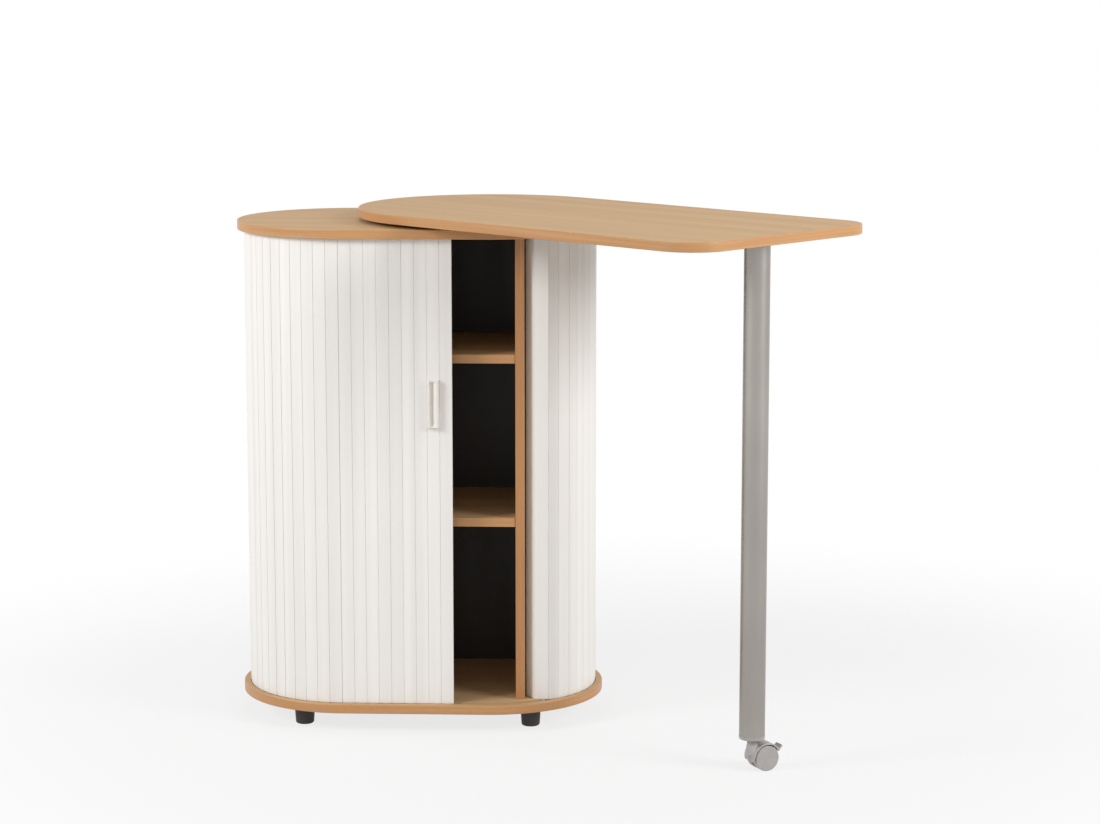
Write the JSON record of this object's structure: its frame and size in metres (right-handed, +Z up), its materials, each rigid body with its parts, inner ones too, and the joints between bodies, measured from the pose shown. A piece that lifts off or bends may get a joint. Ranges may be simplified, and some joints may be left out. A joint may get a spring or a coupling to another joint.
{
  "type": "kitchen cart",
  "caption": "Bar-height kitchen cabinet with rounded ends and a sliding slatted curtain; a beech table swings out on its top, carried by a tube leg on a braked castor.",
  "frame": {"origin": "on the floor under the middle of the cabinet", "axes": "+Z up, -Y out of the cabinet's front, +X to the right seen from the front"},
  "size_m": [1.25, 0.9564, 1.046],
  "materials": {
    "beech_face": "satin beech laminate",
    "beech_edge": "satin beech edging",
    "dark_board": "matt dark melamine",
    "white_slat": "satin off-white",
    "foot_plastic": "matt black",
    "leg_paint": "satin silver grey",
    "castor_plastic": "satin grey",
    "steel": "zinc plated",
    "bare_wood": "bare",
    "nylon": "black, smooth"
  },
  "bodies": {
    "cabinet": {"base_panel": "beech_face", "base_edge_band": "beech_edge", "top_panel": "beech_face", "top_edge_band": "beech_edge", "divider_left": "beech_face", "divider_right": "beech_face", "divider_edges": "beech_edge", "shelf_lower": "beech_face", "shelf_upper": "beech_face", "shelf_edges": "beech_edge", "back_panel": "dark_board", "shelf_pegs": "steel", "base_screws": "steel", "top_dowels": "bare_wood", "feet": "foot_plastic", "foot_screws": "steel", "tambour_fixed_slats": "white_slat", "glide_ring": "nylon", "glide_screws": "steel", "pivot_bush": "nylon"},
    "table": {"table_top": "beech_face", "table_edge_band": "beech_edge", "pivot_bolt": "steel", "pivot_washer": "steel", "insert_nut": "steel", "leg_socket": "steel", "leg_socket_screws": "steel", "leg_tube": "leg_paint", "leg_grub_screw": "steel", "leg_cap": "castor_plastic", "castor_stem": "steel"},
    "castor": {"castor_housing": "castor_plastic", "castor_axle": "steel"},
    "wheel_near": {"castor_wheel_near": "castor_plastic"},
    "wheel_far": {"castor_wheel_far": "castor_plastic"},
    "brake": {"brake_lever": "castor_plastic"},
    "curtain_front": {"tambour_front_slats": "white_slat"},
    "curtain_side": {"tambour_side_slats": "white_slat"},
    "lead_slat_1": {"tambour_lead_slat_1": "white_slat"},
    "lead_slat_2": {"tambour_lead_slat_2": "white_slat", "tambour_pull": "white_slat", "pull_screws": "steel"},
    "lead_slat_3": {"tambour_lead_slat_3": "white_slat"},
    "lead_slat_4": {"tambour_lead_slat_4": "white_slat"},
    "turn_slat_1": {"tambour_turn_slat_1": "white_slat"},
    "turn_slat_2": {"tambour_turn_slat_2": "white_slat"},
    "turn_slat_3": {"tambour_turn_slat_3": "white_slat"},
    "turn_slat_4": {"tambour_turn_slat_4": "white_slat"},
    "turn_slat_5": {"tambour_turn_slat_5": "white_slat"},
    "turn_slat_6": {"tambour_turn_slat_6": "white_slat"},
    "turn_slat_7": {"tambour_turn_slat_7": "white_slat"},
    "back_slat_1": {"tambour_back_slat_1": "white_slat"},
    "back_slat_2": {"tambour_back_slat_2": "white_slat"},
    "back_slat_3": {"tambour_back_slat_3": "white_slat"},
    "back_slat_4": {"tambour_back_slat_4": "white_slat"},
    "back_slat_5": {"tambour_back_slat_5": "white_slat"},
    "back_slat_6": {"tambour_back_slat_6": "white_slat"},
    "back_slat_7": {"tambour_back_slat_7": "white_slat"}
  },
  "joints": [
    {"name": "table_swing", "type": "hinge", "parent": "cabinet", "child": "table", "pos_m": [0.145, 0, 1.02], "axis": [0, 0, 1], "continuous": true},
    {"name": "castor_swivel", "type": "hinge", "parent": "table", "child": "castor", "pos_m": [0.67233, -0.4649, 0.06], "axis": [0, 0, 1], "continuous": true},
    {"name": "wheel_near_spin", "type": "hinge", "parent": "castor", "child": "wheel_near", "pos_m": [0.69396, -0.4534, 0.025], "axis": [0.4695, -0.8829, 0], "continuous": true},
    {"name": "wheel_far_spin", "type": "hinge", "parent": "castor", "child": "wheel_far", "pos_m": [0.69396, -0.4534, 0.025], "axis": [0.4695, -0.8829, 0], "continuous": true},
    {"name": "brake_press", "type": "hinge", "parent": "castor", "child": "brake", "pos_m": [0.71937, -0.43989, 0.03781], "axis": [-0.4695, 0.8829, 0], "range_deg": [0, 22]},
    {"name": "curtain_slide", "type": "slide", "parent": "cabinet", "child": "curtain_front", "axis": [1, 0, 0], "range_m": [0, 0.178]},
    {"name": "curtain_side_turn", "type": "hinge", "parent": "cabinet", "child": "curtain_side", "pos_m": [-0.145, 0, 0.53], "axis": [0, 0, 1], "range_deg": [0, 48.73]},
    {"name": "lead_slat_1_turn", "type": "hinge", "parent": "cabinet", "child": "lead_slat_1", "pos_m": [0.1056, 0.1633, 0.53], "axis": [0, 0, 1], "range_deg": [0, 27.18]},
    {"name": "lead_slat_2_turn", "type": "hinge", "parent": "cabinet", "child": "lead_slat_2", "pos_m": [0.0931, 0.29, 0.53], "axis": [0, 0, 1], "range_deg": [0, 20.34]},
    {"name": "lead_slat_3_turn", "type": "hinge", "parent": "cabinet", "child": "lead_slat_3", "pos_m": [0.0806, 0.54592, 0.53], "axis": [0, 0, 1], "range_deg": [0, 13.51]},
    {"name": "lead_slat_4_turn", "type": "hinge", "parent": "cabinet", "child": "lead_slat_4", "pos_m": [0.0681, 1.32997, 0.53], "axis": [0, 0, 1], "range_deg": [0, 6.67]},
    {"name": "turn_slat_1_turn", "type": "hinge", "parent": "cabinet", "child": "turn_slat_1", "pos_m": [-0.0629, 2.49185, 0.53], "axis": [0, 0, 1], "range_deg": [0, 3.82]},
    {"name": "turn_slat_2_turn", "type": "hinge", "parent": "cabinet", "child": "turn_slat_2", "pos_m": [-0.0754, 0.74946, 0.53], "axis": [0, 0, 1], "range_deg": [0, 10.66]},
    {"name": "turn_slat_3_turn", "type": "hinge", "parent": "cabinet", "child": "turn_slat_3", "pos_m": [-0.0879, 0.3721, 0.53], "axis": [0, 0, 1], "range_deg": [0, 17.5]},
    {"name": "turn_slat_4_turn", "type": "hinge", "parent": "cabinet", "child": "turn_slat_4", "pos_m": [-0.1004, 0.20728, 0.53], "axis": [0, 0, 1], "range_deg": [0, 24.34]},
    {"name": "turn_slat_5_turn", "type": "hinge", "parent": "cabinet", "child": "turn_slat_5", "pos_m": [-0.1129, 0.11527, 0.53], "axis": [0, 0, 1], "range_deg": [0, 31.17]},
    {"name": "turn_slat_6_turn", "type": "hinge", "parent": "cabinet", "child": "turn_slat_6", "pos_m": [-0.1254, 0.05699, 0.53], "axis": [0, 0, 1], "range_deg": [0, 38.01]},
    {"name": "turn_slat_7_turn", "type": "hinge", "parent": "cabinet", "child": "turn_slat_7", "pos_m": [-0.1379, 0.01723, 0.53], "axis": [0, 0, 1], "range_deg": [0, 44.85]},
    {"name": "back_slat_1_turn", "type": "hinge", "parent": "cabinet", "child": "back_slat_1", "pos_m": [-0.14218, -0.00646, 0.53], "axis": [0, 0, 1], "range_deg": [0, 47.19]},
    {"name": "back_slat_2_turn", "type": "hinge", "parent": "cabinet", "child": "back_slat_2", "pos_m": [-0.12968, -0.04174, 0.53], "axis": [0, 0, 1], "range_deg": [0, 40.35]},
    {"name": "back_slat_3_turn", "type": "hinge", "parent": "cabinet", "child": "back_slat_3", "pos_m": [-0.11718, -0.09253, 0.53], "axis": [0, 0, 1], "range_deg": [0, 33.52]},
    {"name": "back_slat_4_turn", "type": "hinge", "parent": "cabinet", "child": "back_slat_4", "pos_m": [-0.10468, -0.17037, 0.53], "axis": [0, 0, 1], "range_deg": [0, 26.68]},
    {"name": "back_slat_5_turn", "type": "hinge", "parent": "cabinet", "child": "back_slat_5", "pos_m": [-0.09218, -0.30278, 0.53], "axis": [0, 0, 1], "range_deg": [0, 19.84]},
    {"name": "back_slat_6_turn", "type": "hinge", "parent": "cabinet", "child": "back_slat_6", "pos_m": [-0.07968, -0.57537, 0.53], "axis": [0, 0, 1], "range_deg": [0, 13]},
    {"name": "back_slat_7_turn", "type": "hinge", "parent": "cabinet", "child": "back_slat_7", "pos_m": [-0.06718, -1.4566, 0.53], "axis": [0, 0, 1], "range_deg": [0, 6.17]}
  ],
  "couplings": [
    {"joint": "curtain_side_turn", "follows": "curtain_slide", "rad_per_m": 4.7733},
    {"joint": "lead_slat_1_turn", "follows": "curtain_slide", "rad_per_m": 2.6602},
    {"joint": "lead_slat_2_turn", "follows": "curtain_slide", "rad_per_m": 1.9898},
    {"joint": "lead_slat_3_turn", "follows": "curtain_slide", "rad_per_m": 1.3194},
    {"joint": "lead_slat_4_turn", "follows": "curtain_slide", "rad_per_m": 0.64895},
    {"joint": "turn_slat_1_turn", "follows": "curtain_slide", "rad_per_m": 0.37006},
    {"joint": "turn_slat_2_turn", "follows": "curtain_slide", "rad_per_m": 1.0405},
    {"joint": "turn_slat_3_turn", "follows": "curtain_slide", "rad_per_m": 1.7109},
    {"joint": "turn_slat_4_turn", "follows": "curtain_slide", "rad_per_m": 2.3813},
    {"joint": "turn_slat_5_turn", "follows": "curtain_slide", "rad_per_m": 3.0517},
    {"joint": "turn_slat_6_turn", "follows": "curtain_slide", "rad_per_m": 3.7221},
    {"joint": "turn_slat_7_turn", "follows": "curtain_slide", "rad_per_m": 4.3925},
    {"joint": "back_slat_1_turn", "follows": "curtain_slide", "rad_per_m": 4.6221},
    {"joint": "back_slat_2_turn", "follows": "curtain_slide", "rad_per_m": 3.9517},
    {"joint": "back_slat_3_turn", "follows": "curtain_slide", "rad_per_m": 3.2813},
    {"joint": "back_slat_4_turn", "follows": "curtain_slide", "rad_per_m": 2.6109},
    {"joint": "back_slat_5_turn", "follows": "curtain_slide", "rad_per_m": 1.9405},
    {"joint": "back_slat_6_turn", "follows": "curtain_slide", "rad_per_m": 1.2701},
    {"joint": "back_slat_7_turn", "follows": "curtain_slide", "rad_per_m": 0.59971}
  ]
}
